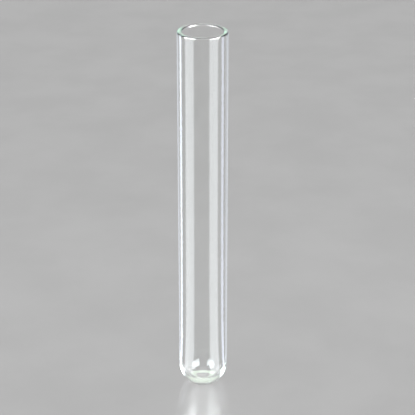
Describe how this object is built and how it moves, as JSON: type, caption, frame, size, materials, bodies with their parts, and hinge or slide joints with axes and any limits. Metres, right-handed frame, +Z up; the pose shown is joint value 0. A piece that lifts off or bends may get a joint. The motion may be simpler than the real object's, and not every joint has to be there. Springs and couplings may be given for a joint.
{
  "type": "test tube",
  "caption": "Rimless laboratory test tube of clear glass, with a straight wall, a flat-cut lip with flame-rounded edges, and a round bottom with a small flat to stand on.",
  "frame": {"origin": "middle of the small flat that the tube stands on, which is the lowest point of the round bottom", "axes": "+Z up along the axis of the tube, towards its open end; X and Y are alike"},
  "size_m": [0.016, 0.016, 0.125],
  "materials": {
    "glass": "clear and polished, colourless across the wall and faintly green where it is looked at edge on"
  },
  "bodies": {
    "root": {"glass_tube": "glass"}
  },
  "joints": []
}
